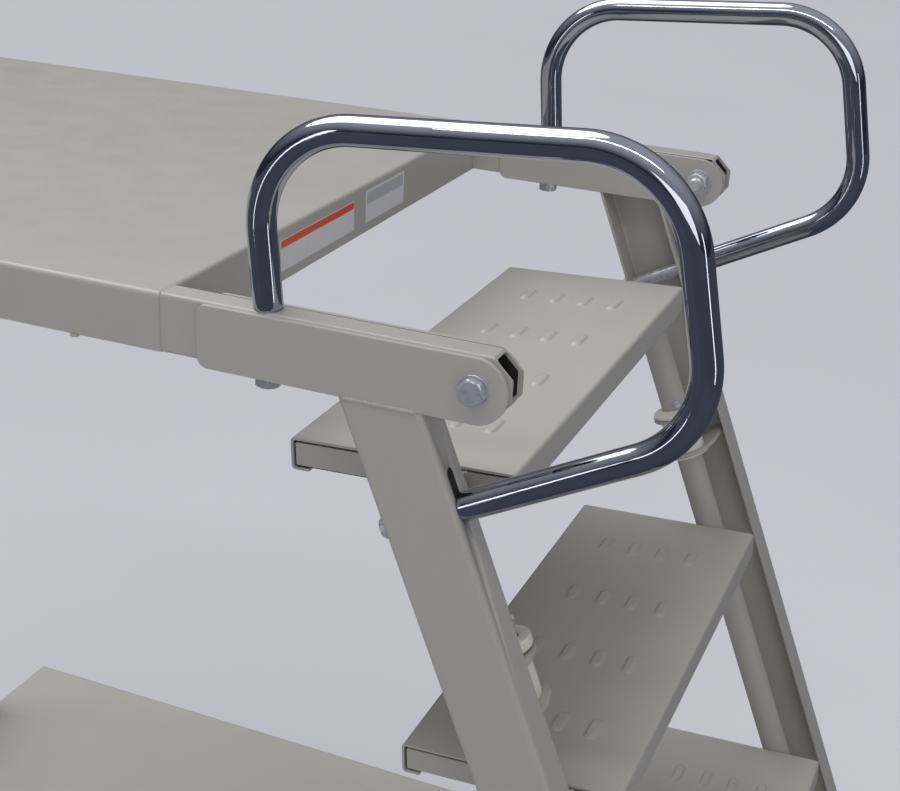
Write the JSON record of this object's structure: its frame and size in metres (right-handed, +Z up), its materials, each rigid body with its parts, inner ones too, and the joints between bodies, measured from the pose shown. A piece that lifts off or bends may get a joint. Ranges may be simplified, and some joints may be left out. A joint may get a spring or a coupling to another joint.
{
  "type": "mobile ladder stand",
  "caption": "Two-deck stock cart on swivel casters with a sloping step ladder at one end, bent grab handles and a sliding tread frame on rubber feet.",
  "frame": {"origin": "centre of the bounding box at floor level", "axes": "+X towards the climber's side, +Y to the climber's right, +Z up"},
  "size_m": [1.623, 0.7612, 1.4591],
  "materials": {
    "painted_steel": "semi-gloss",
    "chrome_steel": "polished",
    "zinc_steel": "satin",
    "nylon": "matte",
    "rubber": "matte",
    "wheel_rubber": "matte"
  },
  "bodies": {
    "frame": {"upper_deck": "painted_steel", "lower_deck": "painted_steel", "push_handle": "chrome_steel", "arm_tube_left": "painted_steel", "pivot_plate_outer_left": "painted_steel", "pivot_plate_inner_left": "painted_steel", "pivot_bolt_left": "zinc_steel", "ladder_stile_left": "painted_steel", "grab_handle_left": "chrome_steel", "handle_tie_bolt_left": "zinc_steel", "guide_bracket_upper_left": "painted_steel", "guide_bracket_lower_left": "painted_steel", "guide_bush_top_left": "nylon", "guide_bush_mid_left": "nylon", "guide_bush_low_left": "nylon", "base_rail_left": "painted_steel", "upright_left": "painted_steel", "arm_tube_right": "painted_steel", "pivot_plate_outer_right": "painted_steel", "pivot_plate_inner_right": "painted_steel", "pivot_bolt_right": "zinc_steel", "ladder_stile_right": "painted_steel", "grab_handle_right": "chrome_steel", "handle_tie_bolt_right": "zinc_steel", "guide_bracket_upper_right": "painted_steel", "guide_bracket_lower_right": "painted_steel", "guide_bush_top_right": "nylon", "guide_bush_mid_right": "nylon", "guide_bush_low_right": "nylon", "base_rail_right": "painted_steel", "upright_right": "painted_steel", "caster_rear_left_plate": "zinc_steel", "caster_rear_right_plate": "zinc_steel", "caster_front_left_plate": "zinc_steel", "caster_front_right_plate": "zinc_steel"},
    "tread_frame": {"tread_post_left": "painted_steel", "rubber_foot_left": "rubber", "tread_post_right": "painted_steel", "rubber_foot_right": "rubber", "tread_1": "painted_steel", "tread_end_plate_1_left": "painted_steel", "tread_end_plate_1_right": "painted_steel", "tread_2": "painted_steel", "tread_end_plate_2_left": "painted_steel", "tread_end_plate_2_right": "painted_steel", "tread_3": "painted_steel", "tread_end_plate_3_left": "painted_steel", "tread_end_plate_3_right": "painted_steel", "tread_4": "painted_steel", "tread_end_plate_4_left": "painted_steel", "tread_end_plate_4_right": "painted_steel"},
    "caster_rear_left_swivel": {"caster_rear_left_fork": "zinc_steel"},
    "caster_rear_left_roller": {"caster_rear_left_wheel": "wheel_rubber"},
    "caster_rear_right_swivel": {"caster_rear_right_fork": "zinc_steel"},
    "caster_rear_right_roller": {"caster_rear_right_wheel": "wheel_rubber"},
    "caster_front_left_swivel": {"caster_front_left_fork": "zinc_steel"},
    "caster_front_left_roller": {"caster_front_left_wheel": "wheel_rubber"},
    "caster_front_right_swivel": {"caster_front_right_fork": "zinc_steel"},
    "caster_front_right_roller": {"caster_front_right_wheel": "wheel_rubber"}
  },
  "joints": [
    {"name": "tread_frame_lift", "type": "slide", "parent": "frame", "child": "tread_frame", "axis": [-0.3746, 0, 0.9272], "range_m": [0, 0.02]},
    {"name": "caster_rear_left_swivel_turn", "type": "hinge", "parent": "frame", "child": "caster_rear_left_swivel", "pos_m": [-0.58517, -0.325, 0.15], "axis": [0, 0, 1], "continuous": true},
    {"name": "caster_rear_left_wheel_roll", "type": "hinge", "parent": "caster_rear_left_swivel", "child": "caster_rear_left_roller", "pos_m": [-0.61917, -0.325, 0.0635], "axis": [0, 1, 0], "continuous": true},
    {"name": "caster_rear_right_swivel_turn", "type": "hinge", "parent": "frame", "child": "caster_rear_right_swivel", "pos_m": [-0.58517, 0.325, 0.15], "axis": [0, 0, 1], "continuous": true},
    {"name": "caster_rear_right_wheel_roll", "type": "hinge", "parent": "caster_rear_right_swivel", "child": "caster_rear_right_roller", "pos_m": [-0.61917, 0.325, 0.0635], "axis": [0, 1, 0], "continuous": true},
    {"name": "caster_front_left_swivel_turn", "type": "hinge", "parent": "frame", "child": "caster_front_left_swivel", "pos_m": [0.43483, -0.325, 0.15], "axis": [0, 0, 1], "continuous": true},
    {"name": "caster_front_left_wheel_roll", "type": "hinge", "parent": "caster_front_left_swivel", "child": "caster_front_left_roller", "pos_m": [0.40083, -0.325, 0.0635], "axis": [0, 1, 0], "continuous": true},
    {"name": "caster_front_right_swivel_turn", "type": "hinge", "parent": "frame", "child": "caster_front_right_swivel", "pos_m": [0.43483, 0.325, 0.15], "axis": [0, 0, 1], "continuous": true},
    {"name": "caster_front_right_wheel_roll", "type": "hinge", "parent": "caster_front_right_swivel", "child": "caster_front_right_roller", "pos_m": [0.40083, 0.325, 0.0635], "axis": [0, 1, 0], "continuous": true}
  ]
}
